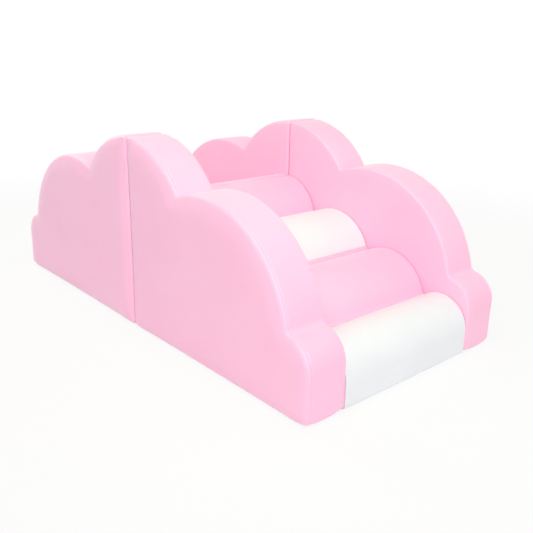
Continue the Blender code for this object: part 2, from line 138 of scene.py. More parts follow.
class Finish:
    """A material whose nodes are added by plain expressions."""

    def __init__(self, name):
        self.material = bpy.data.materials.new(name)
        self.material.use_nodes = True
        self.tree = self.material.node_tree
        self.shader = self.tree.nodes["Principled BSDF"]

    def node(self, kind, settings=(), values=(), output=0):
        made = self.tree.nodes.new(kind)
        for key, value in dict(settings).items():
            setattr(made, key, value)
        for key, value in dict(values).items():
            if isinstance(value, Value):
                self.tree.links.new(value.socket, made.inputs[key])
            else:
                made.inputs[key].default_value = value
        return Value(self, made.outputs[output])

    def place(self):
        """The point on the object in metres, in the object's own frame."""
        return self.node("ShaderNodeTexCoord", output="Object")

    def stretched(self, stretch=(1, 1, 1)):
        """The same point, with each axis drawn out or squeezed."""
        return self.node("ShaderNodeVectorMath", {"operation": "MULTIPLY"}, {0: self.place(), 1: stretch})

    def noise(self, size, detail=2.0, stretch=(1, 1, 1)):
        """Soft noise from 0 to 1 whose blots are about that many metres wide."""
        values = {"Vector": self.stretched(stretch), "Scale": 1 / size, "Detail": detail}
        return self.node("ShaderNodeTexNoise", {}, values)

    def cells(self, size, feature="F1"):
        """Cells of about that many metres: 0 in the middle of a cell, and more towards its rim."""
        values = {"Vector": self.stretched(), "Scale": 1 / size}
        return self.node("ShaderNodeTexVoronoi", {"feature": feature}, values)

    def mix(self, share, first, second):
        """Blends two colours by a share from 0 to 1."""
        made = self.tree.nodes.new("ShaderNodeMix")
        made.data_type = "RGBA"
        for socket, value in ((made.inputs[0], share), (made.inputs[6], first), (made.inputs[7], second)):
            if isinstance(value, Value):
                self.tree.links.new(value.socket, socket)
            else:
                socket.default_value = value
        return Value(self, made.outputs[2])

    def set(self, **sockets):
        for key, value in sockets.items():
            socket = self.shader.inputs[key.replace("_", " ").title()]
            if isinstance(value, Value):
                self.tree.links.new(value.socket, socket)
            else:
                socket.default_value = value

    def bump(self, height, depth, strength=1.0):
        """Raises the surface by height, 0 to 1, times depth in metres."""
        values = {"Height": height, "Distance": depth, "Strength": strength}
        self.set(normal=self.node("ShaderNodeBump", {}, values))


def srgb(red, green, blue):
    """A colour as a screen shows it, 0 to 255, turned into the light that it stands for."""
    light = []
    for c in (red / 255, green / 255, blue / 255):
        light.append(c / 12.92 if c <= 0.04045 else ((c + 0.055) / 1.055) ** 2.4)
    return (*light, 1.0)


print(f"a grey that a screen shows as 128 stands for {srgb(128, 128, 128)[0]:.2f} of full light")

# %% [markdown]
# ## A white studio
#
# The object stands in a white studio: light comes from all round, with four soft lamps. The large one
# beside the camera lights the seams and gaps that face it. A small one hangs over the near walls: it
# grazes their outer sides, and reaches down to the rolls and to the lane side of the far walls.
# Another does the same over the slide, and one at the back adds gloss. The floor shows as plain
# white and keeps a faint shadow. That white is painted for the camera, for reflections and for what
# is seen through glass, and not for the light that falls on the covers.

# %% World, lamps and floor
BACKGROUND_RAYS = ("Is Camera Ray", "Is Glossy Ray", "Is Transmission Ray")
AMBIENT = 0.585
LAMP_COLOUR = (1.0, 0.99, 0.965)
FLOOR_REACH = 14.0
SHADOW_SHARE = 0.16
SHADOW_NEAR, SHADOW_FAR = 1.1, 2.6

scene.view_settings.view_transform = "Standard"


def background_share(tree):
    """1 for the rays that should see a plain white background, and 0 for the rest."""
    path = tree.nodes.new("ShaderNodeLightPath")
    share = path.outputs[BACKGROUND_RAYS[0]]
    for ray in BACKGROUND_RAYS[1:]:
        most = tree.nodes.new("ShaderNodeMath")
        most.operation = "MAXIMUM"
        tree.links.new(share, most.inputs[0])
        tree.links.new(path.outputs[ray], most.inputs[1])
        share = most.outputs[0]
    return share


def make_world():
    world = bpy.data.worlds.new("studio")
    scene.world = world
    world.use_nodes = True
    tree = world.node_tree
    tree.nodes.clear()
    shown = tree.nodes.new("ShaderNodeBackground")
    shown.inputs[0].default_value = (1, 1, 1, 1)
    shown.inputs[1].default_value = 1.0
    light = tree.nodes.new("ShaderNodeBackground")
    light.inputs[0].default_value = (1.0, 0.985, 0.99, 1)
    light.inputs[1].default_value = AMBIENT
    mix = tree.nodes.new("ShaderNodeMixShader")
    out = tree.nodes.new("ShaderNodeOutputWorld")
    tree.links.new(background_share(tree), mix.inputs[0])
    tree.links.new(light.outputs[0], mix.inputs[1])
    tree.links.new(shown.outputs[0], mix.inputs[2])
    tree.links.new(mix.outputs[0], out.inputs[0])


def make_lamp(name, place, target, size, power, colour=LAMP_COLOUR):
    data = bpy.data.lights.new(name, "AREA")
    data.shape = "SQUARE"
    data.size, data.energy, data.color = size, power, colour
    lamp = bpy.data.objects.new(name, data)
    scene.collection.objects.link(lamp)
    lamp.location = place
    lamp.rotation_mode = "QUATERNION"
    lamp.rotation_quaternion = (Vector(target) - Vector(place)).to_track_quat("-Z", "Y")


def make_floor():
    mesh = bpy.data.meshes.new("floor")
    r = FLOOR_REACH
    mesh.from_pydata([(-r, -r, 0), (r, -r, 0), (r, r, 0), (-r, r, 0)], [], [(0, 1, 2, 3)])
    floor = bpy.data.objects.new("floor", mesh)
    scene.collection.objects.link(floor)
    white = Finish("white floor")
    white.set(base_color=(0.86, 0.86, 0.86, 1), roughness=0.9)
    white.shader.inputs["Specular IOR Level"].default_value = 0.2
    glow = white.tree.nodes.new("ShaderNodeEmission")
    mix = white.tree.nodes.new("ShaderNodeMixShader")
    out = white.tree.nodes["Material Output"]
    far = white.node("ShaderNodeVectorMath", {"operation": "LENGTH"}, {0: white.place()}, output="Value")
    glowing = (1 - SHADOW_SHARE) + far.between(SHADOW_NEAR, SHADOW_FAR) * SHADOW_SHARE
    share = Value(white, background_share(white.tree)) * glowing
    white.tree.links.new(share.socket, mix.inputs[0])
    white.tree.links.new(white.shader.outputs[0], mix.inputs[1])
    white.tree.links.new(glow.outputs[0], mix.inputs[2])
    white.tree.links.new(mix.outputs[0], out.inputs[0])
    mesh.materials.append(white.material)


make_world()
make_lamp("front lamp", (3.8, -2.6, 2.3), (0.1, 0, 0.2), 2.6, 91)
make_lamp("back lamp", (1.15, 1.65, 2.1), (0.3, 0, 0.3), 2.4, 6, (1.0, 1.0, 0.85))
make_lamp("near lamp", (0.66, -0.40, 1.32), (0.40, 0.12, 0.3), 0.7, 4.6, (0.94, 1.0, 0.62))
make_lamp("slide lamp", (-1.2, -0.36, 1.3), (-0.3, 0.2, 0.35), 0.6, 5.5, (0.96, 1.0, 0.78))
make_floor()
print("the studio has", len(bpy.data.lights), "lamps")

# %% [markdown]
# ## Outlines from a few arcs
#
# Every module is a flat shape drawn across, so one outline in the plane of length and height makes
# most of it. Here u runs from the face where the two halves meet to the free end, and z goes up. The
# cloud and the rolls are circles that overlap, with a small circle sewn into each valley. Drawing with
# arcs keeps the curves true however finely they are cut, and leaves only centres and radii to choose.

# %% Sizes of the modules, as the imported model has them
JOINT_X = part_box("step_left_wall_crest_strip")[0].x
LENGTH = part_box("step_left_wall_shoulder_strip")[1].x - JOINT_X
BLOCK_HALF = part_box("step_block_right_side")[1].y
WALL_INNER = -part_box("step_left_wall_inner_panel")[1].y
WALL_HALF = 0.06225
WALL_CENTRE = WALL_INNER + WALL_HALF
WALL_EDGES = {1: 0.012, -1: 0.006}
BLOCK_EDGES = {1: 0.003, -1: 0.003}
BASE_CORNER, JOINT_CORNER = 0.013, 0.009
WALL_CROWN, INNER_CROWN = 0.0048, 0.0014

TOP_LOBE = (-0.0040, 0.2755, 0.2972)
MIDDLE_LOBE = (0.3567, 0.1464, 0.3224)
LOW_LOBE = (LENGTH - 0.0777, 0.1295, 0.0777)
CREASE, LOW_VALLEY = 0.0035, 0.0220
ROLLS = [(0.0005, 0.2535, 0.1390), (0.2315, 0.1675, 0.1515), (0.4605, 0.1005, 0.1415),
         (LENGTH - 0.0890, 0.0700, 0.0890)]
ROLL_VALLEY = 0.0090
ROLL_2_LIP = 0.0030
SLIDE_TOP, SLIDE_FOOT, FOOT_EDGE = 0.3925, 0.0450, 0.0140
TOP_HANDLE, FOOT_HANDLE, SLOPE_LENGTH = 0.1800, 0.3200, 0.85
SLIDE_BACK, SLIDE_RISE, MIDDLE_BACK_SHARE = 0.0060, 0.0015, 0.6
print(f"a module is {LENGTH:.4f} m long, a wall's middle plane lies {WALL_CENTRE:.4f} m from the middle")

# %% Arcs, valleys and lobes
STEP, CORNER_STEP = 0.0050, 0.0025


def arc(centre, radius, start, end, step):
    count = max(3, math.ceil(abs(end - start) * radius / step))
    a = np.linspace(start, end, count + 1)
    return np.stack([centre[0] + radius * np.cos(a), centre[1] + radius * np.sin(a)], 1)


def line(start, end, step):
    start, end = np.array(start, float), np.array(end, float)
    count = max(1, math.ceil(np.linalg.norm(end - start) / step))
    return start + (end - start) * np.linspace(0, 1, count + 1)[:, None]


def bearing(origin, target):
    return math.atan2(target[1] - origin[1], target[0] - origin[0])


def valley(lower, upper, radius):
    """Centre of the small circle that touches two overlapping lobes from outside."""
    a, b = np.array(lower[:2]), np.array(upper[:2])
    reach_a, reach_b = lower[2] + radius, upper[2] + radius
    apart = np.linalg.norm(b - a)
    along = (apart ** 2 + reach_a ** 2 - reach_b ** 2) / (2 * apart)
    way = (b - a) / apart
    aside = math.sqrt(reach_a ** 2 - along ** 2)
    return a + way * along + np.array((way[1], -way[0])) * aside


def joint_edge(lobe):
    """Centre of the rounding between a top lobe and the face where the halves meet."""
    reach = lobe[2] - JOINT_CORNER
    return np.array((JOINT_CORNER, lobe[1] + math.sqrt(reach ** 2 - (JOINT_CORNER - lobe[0]) ** 2)))


def over_lobes(lobes, valleys, lips, step):
    """Runs of points over the lobes, from the free end up to the face where the halves meet."""
    runs, points, start = [], [], 0.0
    for lobe, above, radius, lip in zip(lobes, lobes[1:], valleys, lips):
        centre = valley(lobe, above, radius)
        points.append(arc(lobe, lobe[2], start, bearing(lobe, centre), step))
        low, high = bearing(centre, lobe), bearing(centre, above)
        high -= 2 * math.pi if high > low else 0.0
        middle = high if lip else (low + high) / 2
        points.append(arc(centre, radius, low, middle, step))
        start = bearing(above, centre)
        if lip:
            cut = start + lip / above[2]
            points.append(arc(above, above[2], start, cut, step))
            start = cut
        runs.append(points)
        points = [] if lip else [arc(centre, radius, middle, high, step)]
    edge = joint_edge(lobes[-1])
    turn = bearing(lobes[-1], edge)
    points.append(arc(lobes[-1], lobes[-1][2], start, turn, step))
    points.append(arc(edge, JOINT_CORNER, turn, math.pi, CORNER_STEP))
    return runs + [points]


BASE_ENDS = [np.array((LENGTH - BASE_CORNER, BASE_CORNER)), np.array((BASE_CORNER, BASE_CORNER))]
BASE_CORNERS = [(end, BASE_CORNER) for end in BASE_ENDS]


def corner(free_end):
    """The rounding between the flat base and either end."""
    start = -math.pi / 2 if free_end else math.pi
    centre = BASE_ENDS[0 if free_end else 1]
    return arc(centre, BASE_CORNER, start, start + math.pi / 2, CORNER_STEP)


def base_line(step):
    return [line((BASE_CORNER, 0), (LENGTH - BASE_CORNER, 0), step)]


print("the sharp valley's small circle is centred at", valley(MIDDLE_LOBE, TOP_LOBE, CREASE).round(4))

# %% [markdown]
# ## A row of stations
#
# Everything that runs round a module, a seam, a strip or the edge of a panel, has to know where it is on
# the outline. So the arcs become one closed row of points, the stations, each with the direction that
# leads inwards. A curve with a bevel could carry a strip too, but it couldn't say which stretch belongs
# to which panel, and a sewn cover is made of panels.

# %% The outline as stations


class Outline:
    """A closed row of points with the inward direction at each, cut into named runs.

    On a tight corner a point moves straight in only for most of the corner's radius, and from there
    along the corner's diagonal, so that the rows never cross.
    """

    TIGHT_SHARE = 0.9

    def __init__(self, runs, corners):
        points, self.spans = [], {}
        for name, pieces in runs:
            row = [pieces[0][0]]
            for piece in pieces:
                row += [p for p in piece if np.linalg.norm(p - row[-1]) > 1e-6]
            self.spans[name] = (len(points), len(points) + len(row) - 1)
            points += row[:-1]
        self.points = np.array(points)
        ahead = np.roll(self.points, -1, 0) - self.points
        ahead /= np.linalg.norm(ahead, axis=1)[:, None]
        normal = np.stack([-ahead[:, 1], ahead[:, 0]], 1)
        normal += np.roll(normal, 1, 0)
        self.inward = normal / np.linalg.norm(normal, axis=1)[:, None]
        steps = np.linalg.norm(np.roll(self.points, -1, 0) - self.points, axis=1)
        self.along = np.concatenate([[0], np.cumsum(steps)[:-1]])
        self.limit = np.full(len(self.points), np.inf)
        self.diagonal = np.zeros_like(self.points)
        for centre, radius in corners:
            away = np.linalg.norm(self.points - centre, axis=1)
            on_it = np.where(np.abs(away - radius) < 0.001 * radius)[0]
            ends = [(centre - self.points[k]) / radius for k in (on_it[0], on_it[-1])]
            self.limit[on_it] = self.TIGHT_SHARE * radius
            self.diagonal[on_it] = (ends[0] + ends[1]) / (1 + ends[0] @ ends[1])

    def drawn_in(self, stations, insets):
        """Points at each inset from the outline: one row for each station."""
        p, n = self.points[stations][:, None], self.inward[stations][:, None]
        near = np.minimum(insets, self.limit[stations][:, None])[..., None]
        return p + n * near + self.diagonal[stations][:, None] * (np.asarray(insets)[..., None] - near)

    def run(self, name):
        """Indices of a run's stations, both ends included."""
        first, last = self.spans[name]
        return np.arange(first, last + 1) % len(self.points)

    def depth(self, points):
        """How far each point lies from the outline."""
        best = np.full(len(points), np.inf)
        ends = np.roll(self.points, -1, 0)
        for a, b in zip(self.points, ends):
            d = b - a
            t = np.clip((points - a) @ d / (d @ d), 0, 1)
            best = np.minimum(best, np.linalg.norm(points - a - t[:, None] * d, axis=1))
        return best

    def inside(self, points):
        """True for the points that a line to the right leaves through an odd number of sides."""
        found = np.zeros(len(points), bool)
        for p, q in zip(self.points, np.roll(self.points, -1, 0)):
            crosses = (p[1] > points[:, 1]) != (q[1] > points[:, 1])
            if q[1] != p[1]:
                edge = (q[0] - p[0]) * (points[:, 1] - p[1]) / (q[1] - p[1]) + p[0]
                found ^= crosses & (points[:, 0] < edge)
        return found


def wall_outline(step, slide_side):
    back, rise = (SLIDE_BACK, SLIDE_RISE) if slide_side else (0.0, 0.0)
    lobes = [(LOW_LOBE[0] - back, *LOW_LOBE[1:]),
             (MIDDLE_LOBE[0] - MIDDLE_BACK_SHARE * back, *MIDDLE_LOBE[1:]),
             (TOP_LOBE[0], TOP_LOBE[1] + rise, TOP_LOBE[2])]
    low, middle, crest = over_lobes(lobes, [LOW_VALLEY, CREASE], [0, 0], step)
    rising = line((LENGTH, BASE_CORNER), (LENGTH - back, LOW_LOBE[1]), step)
    shoulder = [corner(True), rising] + low + middle
    top = crest[-1][-1]
    crest = crest + [line(top, (0, BASE_CORNER), step), corner(False)]
    runs = [("base", base_line(step)), ("shoulder", shoulder), ("crest", crest)]
    return Outline(runs, BASE_CORNERS + [(joint_edge(lobes[-1]), JOINT_CORNER)])


def step_outline(step):
    runs = over_lobes(ROLLS[::-1], [ROLL_VALLEY] * 3, [0, ROLL_2_LIP, 0], step)
    foot = runs[0][0][0]
    runs[0] = [corner(True), line((LENGTH, BASE_CORNER), foot, step)] + runs[0]
    top = runs[-1][-1][-1]
    runs[-1] = runs[-1] + [line(top, (0, BASE_CORNER), step), corner(False)]
    rolls = [(f"roll_{len(runs) - k}", run) for k, run in enumerate(runs)]
    corners = BASE_CORNERS + [(joint_edge(ROLLS[0]), JOINT_CORNER)]
    return Outline([("base", base_line(step))] + rolls, corners)


def slide_outline(step):
    toe = np.array((LENGTH - FOOT_EDGE, SLIDE_FOOT - FOOT_EDGE))
    brow = np.array((JOINT_CORNER, SLIDE_TOP - JOINT_CORNER))
    foot = arc(toe, FOOT_EDGE, 0, math.pi / 2, CORNER_STEP)
    start, end = np.array((LENGTH - FOOT_EDGE, SLIDE_FOOT)), np.array((JOINT_CORNER, SLIDE_TOP))
    after, before = start - (FOOT_HANDLE, 0), end + (TOP_HANDLE, 0)
    t = np.linspace(0, 1, math.ceil(SLOPE_LENGTH / step))[:, None]
    s = 1 - t
    slope = s ** 3 * start + 3 * s * s * t * after + 3 * s * t * t * before + t ** 3 * end
    edge = arc(brow, JOINT_CORNER, math.pi / 2, math.pi, CORNER_STEP)
    run = [corner(True), line((LENGTH, BASE_CORNER), foot[0], step), foot, slope, edge,
           line(edge[-1], (0, BASE_CORNER), step), corner(False)]
    corners = BASE_CORNERS + [(toe, FOOT_EDGE), (brow, JOINT_CORNER)]
    return Outline([("base", base_line(step)), ("slope", run)], corners)


print("a wall's outline has", len(wall_outline(STEP, False).points), "stations")

# %% [markdown]
# ## How a padded cover behaves
#
# A cover is cut to the foam and sewn from panels, so it lies close but never perfectly flat. Four
# things shape it: the panel swells between its seams, a seam pulls a narrow groove, the cloth beside a
# seam puckers where the thread gathers it, and the large faces carry slow, shallow waves. Each is a
# small height added along the surface's own direction, so the pieces keep meeting at their seams.

# %% Heights of swell, groove, pucker and wave
GROOVE_DEPTH, GROOVE_WIDTH = 0.0019, 0.0016
ROLL_UP, ROLL_UP_REACH = 0.0005, 0.0050
PUCKER, PUCKER_LENGTH, PUCKER_REACH = 0.00045, 0.0120, 0.0050
GATHER, GATHER_LENGTH, GATHER_REACH = 0.00050, 0.0420, 0.0180
PUCKER_ACROSS, GATHER_ACROSS, GATHER_SEED = 0.02, 0.06, 7.3
WAVE, WAVE_LENGTH = 0.0009, 0.1300
FINE_WAVE, FINE_TIMES = 0.4, 2.3
CALM_REACH = 0.03


def ripple(x, y, z):
    """Noise from -1 to 1 at each point."""
    return np.array([noise.noise(Vector(p)) for p in zip(x, y, z)])


def beside_seam(t, along, seed, deep=1.0):
    """Height of the cloth at a distance t from a seam and a place along it."""
    flat_t, flat_along = t.ravel(), along.ravel()
    groove = -deep * GROOVE_DEPTH * np.exp(-(flat_t / GROOVE_WIDTH) ** 2)
    swell = ROLL_UP * (flat_t / ROLL_UP_REACH) * np.exp(1 - flat_t / ROLL_UP_REACH)
    fine = ripple(flat_along / PUCKER_LENGTH, flat_t / PUCKER_ACROSS, np.full(len(flat_t), seed))
    other = np.full(len(flat_t), seed + GATHER_SEED)
    slow = ripple(flat_along / GATHER_LENGTH, flat_t / GATHER_ACROSS, other)
    fine *= PUCKER * (flat_t / PUCKER_REACH) * np.exp(1 - flat_t / PUCKER_REACH)
    slow *= GATHER * (flat_t / GATHER_REACH) * np.exp(1 - flat_t / GATHER_REACH)
    return (groove + swell + fine + slow).reshape(t.shape)


def waves(points, seed):
    """Slow waves over a whole face, from its points in metres."""
    x, y, z = (points.reshape(-1, 3) / WAVE_LENGTH).T
    fine = ripple(FINE_TIMES * x, FINE_TIMES * y + seed, FINE_TIMES * z)
    height = WAVE * ripple(x + seed, y, z) + FINE_WAVE * WAVE * fine
    return height.reshape(points.shape[:-1])


def soft_step(x, low, high):
    t = np.clip((x - low) / (high - low), 0, 1)
    return t * t * (3 - 2 * t)


print(f"at a seam the cloth lies {-1000 * beside_seam(np.zeros(1), np.zeros(1), 0.0)[0]:.1f} mm deeper")

# %% [markdown]
# ## One class for every module
#
# The six modules differ only in their outline, width and place, so one class holds what they share. It
# turns a station on the outline and a place across the module into a point in space, and it builds
# the panels of the cover as grids. On a wall the seam lies where the flat strip over the top begins,
# so the side panel bends round the edge. On a block the strip itself bends round it, because the
# white rolls reach right to the walls. The bottom corners of a sewn cover never quite touch the floor,
# so each module also lifts them a little. The outer edge of a wall is tighter beside the face where
# the halves meet, because the picture shows only a fine line there.

# %% The module
NEAR_SEAM = [0.0, 0.0007, 0.0015, 0.0026, 0.0042, 0.0065, 0.0095]
SEAM_ALLOWANCE = 0.0070
CORNER_LIFT, CORNER_LIFT_REACH, LIFT_UP_SHARE = 0.0068, 0.0270, 0.6
JOINT_EDGE_SHARE, JOINT_EDGE_START, JOINT_EDGE_REACH = 0.45, 0.004, 0.0600
BLOCK_LIFT_SHARE, JOINT_LIFT_SHARE = 0.35, 0.25


class Module:
    """One padded module: its place, and the points of its cover in space."""

    def __init__(self, name, outline, half_width, edges, half, side, centre_y, seed, wall):
        self.name, self.outline, self.wall, self.seed = name, outline, wall, seed
        self.half_width, self.edges = half_width, edges
        self.half, self.side, self.centre_y = half, side, centre_y
        self.proud = {1: 0.0, -1: 0.0}
        self.skin = None

    def lift(self, u, v, z):
        """How far the bottom corners stand off the floor."""
        share = CORNER_LIFT * (1.0 if self.wall else BLOCK_LIFT_SHARE)
        share = share * np.where(u < LENGTH / 2, JOINT_LIFT_SHARE, 1.0)
        from_end = np.minimum(u, LENGTH - u)
        from_side = self.half_width - np.abs(v)
        away = from_end ** 2 + from_side ** 2 + (LIFT_UP_SHARE * z) ** 2
        return share * np.exp(-away / CORNER_LIFT_REACH ** 2)

    def world(self, u, v, z):
        u, v, z = np.broadcast_arrays(np.asarray(u, float), v, z)
        z = z + self.lift(u, v, z)
        return np.stack([self.half * (JOINT_X + u), self.centre_y + self.side * v, z], -1)

    def grid(self, stations, insets, v, tilt):
        """Points and outward directions of a grid: one row for each station, one column across.

        A tilt of a right angle faces out of the outline and a tilt of nothing faces sideways.
        """
        p = self.outline.drawn_in(stations, insets)
        n = self.outline.inward[stations][:, None]
        shape = p.shape[:2]
        lean = np.broadcast_to(np.sin(tilt), shape)
        sideways = np.broadcast_to(self.side * np.sign(v) * np.cos(tilt), shape)
        out = np.stack([-self.half * n[..., 0] * lean, sideways, -n[..., 1] * lean], -1)
        return self.world(p[..., 0], np.broadcast_to(v, shape), p[..., 1]), out

    def tightness(self, stations, side):
        """The share of the edge radius at each station: a wall's outer edge is tighter at the joint."""
        u, z = self.outline.points[stations].T
        near_joint = 1 - soft_step(u, JOINT_EDGE_START, JOINT_EDGE_REACH)
        near_joint = near_joint * soft_step(z, 0.0, JOINT_EDGE_REACH)
        return 1 - (1 - JOINT_EDGE_SHARE) * near_joint * (self.wall and side > 0)

    def draped(self, points, share=1.0):
        """The points moved by their share of the simulated swell at the nearest place on the bag."""
        if self.skin is None:
            return points
        moved = points.reshape(-1, 3).copy()
        share = np.broadcast_to(share, points.shape[:-1]).ravel()
        for k, point in enumerate(moved):
            place, _, face, _ = self.skin.find_nearest(Vector(point))
            corners = self.skin_faces[face]
            weights = poly_3d_calc([Vector(self.skin_points[i]) for i in corners], place)
            moved[k] = point + share[k] * (np.array(weights) @ self.swell[list(corners)])
        return moved.reshape(points.shape)

    def add(self, name, points, faces, finish, smooth=True, flip=None):
        """A mesh object from points in space, with its faces turned outwards."""
        mesh = bpy.data.meshes.new(f"{self.name}_{name}")
        flip = self.half * self.side > 0 if flip is None else flip
        mesh.from_pydata(points.reshape(-1, 3).tolist(), [], [f[::-1] if flip else f for f in faces])
        mesh.polygons.foreach_set("use_smooth", [smooth] * len(mesh.polygons))
        mesh.materials.append(finish.material)
        body = bpy.data.objects.new(f"{self.name}_{name}", mesh)
        scene.collection.objects.link(body)
        return body

    def keep(self, piece, slot, node, fill=None):
        """Hangs a finished piece on the module's body and hides the imported part that it stands for."""
        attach(piece, self.name)
        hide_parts(f"{self.name}_{node}")
        return piece


def quads(rows, columns, closed=False, offset=0):
    """Faces of a grid whose points are stored row by row."""
    faces = []
    for i in range(rows if closed else rows - 1):
        j = (i + 1) % rows
        for k in range(columns - 1):
            a, b = offset + i * columns + k, offset + j * columns + k
            faces.append((a, b, b + 1, a + 1))
    return faces


print("a grid of 3 rows and 4 columns has", len(quads(3, 4)), "faces")

# %% [markdown]
# ## Coated fabric
#
# The covers are a knitted cloth with a soft plastic coat. It is matt with a broad, low shine and a
# very fine grain, and a large panel is never one even colour. The colour gets faint cloudy blots, the
# roughness varies a little more, and small cells with a finer noise make the grain.

# %% Cover finishes


def coated_fabric(name, colour, deeper):
    finish = Finish(name)
    blots = finish.noise(0.16, 3.0)
    finish.set(base_color=finish.mix(blots.between(0.30, 0.72), colour, deeper))
    wear = finish.noise(0.035, 4.0)
    finish.set(roughness=0.46 + wear * 0.10)
    grain = finish.cells(0.00085, "SMOOTH_F1")
    fine = finish.noise(0.00045, 2.0)
    slow = finish.noise(0.006, 2.0)
    finish.bump(grain * 0.55 + fine * 0.25 + slow * 0.5, 0.00010, 0.55)
    finish.shader.inputs["Specular IOR Level"].default_value = 0.55
    finish.shader.inputs["Coat Weight"].default_value = 0.7
    finish.shader.inputs["Coat Roughness"].default_value = 0.5
    finish.shader.inputs["Sheen Weight"].default_value = 0.35
    finish.shader.inputs["Sheen Roughness"].default_value = 0.35
    return finish


pink = coated_fabric("pink cover", srgb(254, 193, 224), srgb(253, 189, 221))
white = coated_fabric("white cover", srgb(232, 235, 241), srgb(229, 232, 238))
print("the pink cover's finish has", len(pink.tree.nodes), "nodes")

# %% [markdown]
# ## Foam, base cloth, zip and tapes
#
# What the covers hide still has its own finish, because the modules come apart. Upholstery foam is
# pale yellow and full of open cells. The base cloth is grey with small raised dots that grip the
# floor. The hook tape is stiff and the loop tape is fuzzy.

# %% Hidden finishes


def plain_foam():
    finish = Finish("upholstery foam")
    cells = finish.cells(0.0011, "F1")
    finish.set(base_color=finish.mix(cells.between(0.1, 0.7), srgb(214, 205, 172), srgb(240, 233, 208)))
    finish.set(roughness=0.92 + cells * 0.06)
    finish.bump(cells, 0.0004)
    return finish


def dotted_cloth():
    finish = Finish("dotted base cloth")
    point = finish.place()
    dots = finish.node("ShaderNodeTexVoronoi", {"feature": "F1", "voronoi_dimensions": "2D"},
                       {"Vector": point, "Scale": 1 / 0.0075, "Randomness": 0.0})
    dot = 1 - dots.between(0.20, 0.30)
    weave = finish.noise(0.0007, 2.0)
    finish.set(base_color=finish.mix(dot, srgb(158, 159, 164), srgb(118, 119, 124)))
    finish.set(roughness=0.88 - dot * 0.25)
    finish.bump(dot + weave * 0.25, 0.0004)
    return finish


def woven_tape(name, colour, shade, pitch):
    finish = Finish(name)
    warp = finish.noise(pitch, 2.0, (0.25, 1, 1))
    weft = finish.noise(pitch, 2.0, (1, 1, 0.25))
    weave = (warp + weft) * 0.5
    finish.set(base_color=finish.mix(weave.between(0.35, 0.65), shade, colour))
    finish.set(roughness=0.78 + weave * 0.14)
    finish.bump(weave, 0.0003)
    return finish


def nickel():
    finish = Finish("nickel plate")
    brushed = finish.noise(0.0006, 3.0, (0.1, 1, 1))
    finish.set(base_color=finish.mix(brushed, srgb(196, 196, 200), srgb(222, 222, 226)))
    finish.set(metallic=1.0, roughness=0.22 + brushed * 0.16)
    finish.bump(brushed, 0.00003)
    return finish


foam = plain_foam()
base_cloth = dotted_cloth()
zip_cloth = woven_tape("zip tape", srgb(246, 186, 214), srgb(232, 166, 198), 0.0007)
hook_cloth = woven_tape("hook tape", srgb(238, 238, 240), srgb(214, 214, 218), 0.0010)
loop_cloth = woven_tape("loop tape", srgb(244, 244, 245), srgb(226, 226, 230), 0.0016)
slider_metal = nickel()
hidden = (foam, base_cloth, zip_cloth, hook_cloth, loop_cloth, slider_metal)
print("hidden finishes:", [finish.material.name for finish in hidden])

# %% [markdown]
# ## A plain skin round each module
#
# Two things need a simple closed form of the module: the foam core, which only shows where a cover
# parts, and the bag that the cloth simulation works on. Both are the same coarse skin, drawn in by a
# few millimetres for the core. Its two sides are single large faces, which is all that either needs.

# %% Closed skin
CORE_DEPTH, CORE_STRIDE = 0.0045, 3
SKIN_EDGE = 0.0120


def closed_skin(module, name, depth, finish):
    """The module as one closed form, drawn in by a depth."""
    r, half = SKIN_EDGE, module.half_width
    tilt = np.radians([0, 45, 90])
    insets = r - (r - depth) * np.sin(tilt)
    v = half - r + (r - depth) * np.cos(tilt)
    stations = np.arange(0, len(module.outline.points), CORE_STRIDE)
    insets, tilt = np.concatenate([insets, insets[::-1]]), np.concatenate([tilt, tilt[::-1]])
    grid = module.grid(stations, insets, np.concatenate([-v, v[::-1]]), tilt)[0]
    rows, columns = grid.shape[:2]
    faces = quads(rows, columns, closed=True)
    faces.append([i * columns for i in range(rows)][::-1])
    faces.append([i * columns + columns - 1 for i in range(rows)])
    return module.add(name, grid, faces, finish)


print(f"the foam core lies {1000 * CORE_DEPTH:.1f} mm under the cover")

# %% [markdown]
# ## Let the cloth say where it swells
#
# Between its seams a stuffed cover swells, and a simulation can say which way, and how that falls off
# towards the seams. Each module becomes a bag of even squares, made by the voxel remesh, whose squares near
# a seam are pinned. The bag is pumped up with pressure and no gravity for twenty frames. It holds no foam,
# so it blows up about ten times too far, and its stiffness hardly changes that. The cap stands in for the
# foam: over most of a face it is the cap that sets how far the cover swells.
# The fine panels made later take over the move that is left. The bags themselves are thrown away,
# because a remesh is too coarse for seams.

# %% Cloth simulation
VOXEL, PRESSURE, FRAMES = 0.012, 4.0, 20
SLACK, STIFFNESS = -0.006, 90.0
PIN_REACH = 0.010
MOVE_CAP, EVEN_ROUNDS = 0.0032, 4


def seam_points(module):
    """Points along both seams of a module."""
    every = np.arange(len(module.outline.points))
    rows = []
    for side in (-1, 1):
        r = module.edges[side]
        inset, v = (0.0, module.half_width - r) if module.wall else (r, module.half_width)
        rows.append(module.grid(every, np.array([inset]), np.array([side * v]), np.zeros(1))[0][:, 0])
    return np.concatenate(rows)


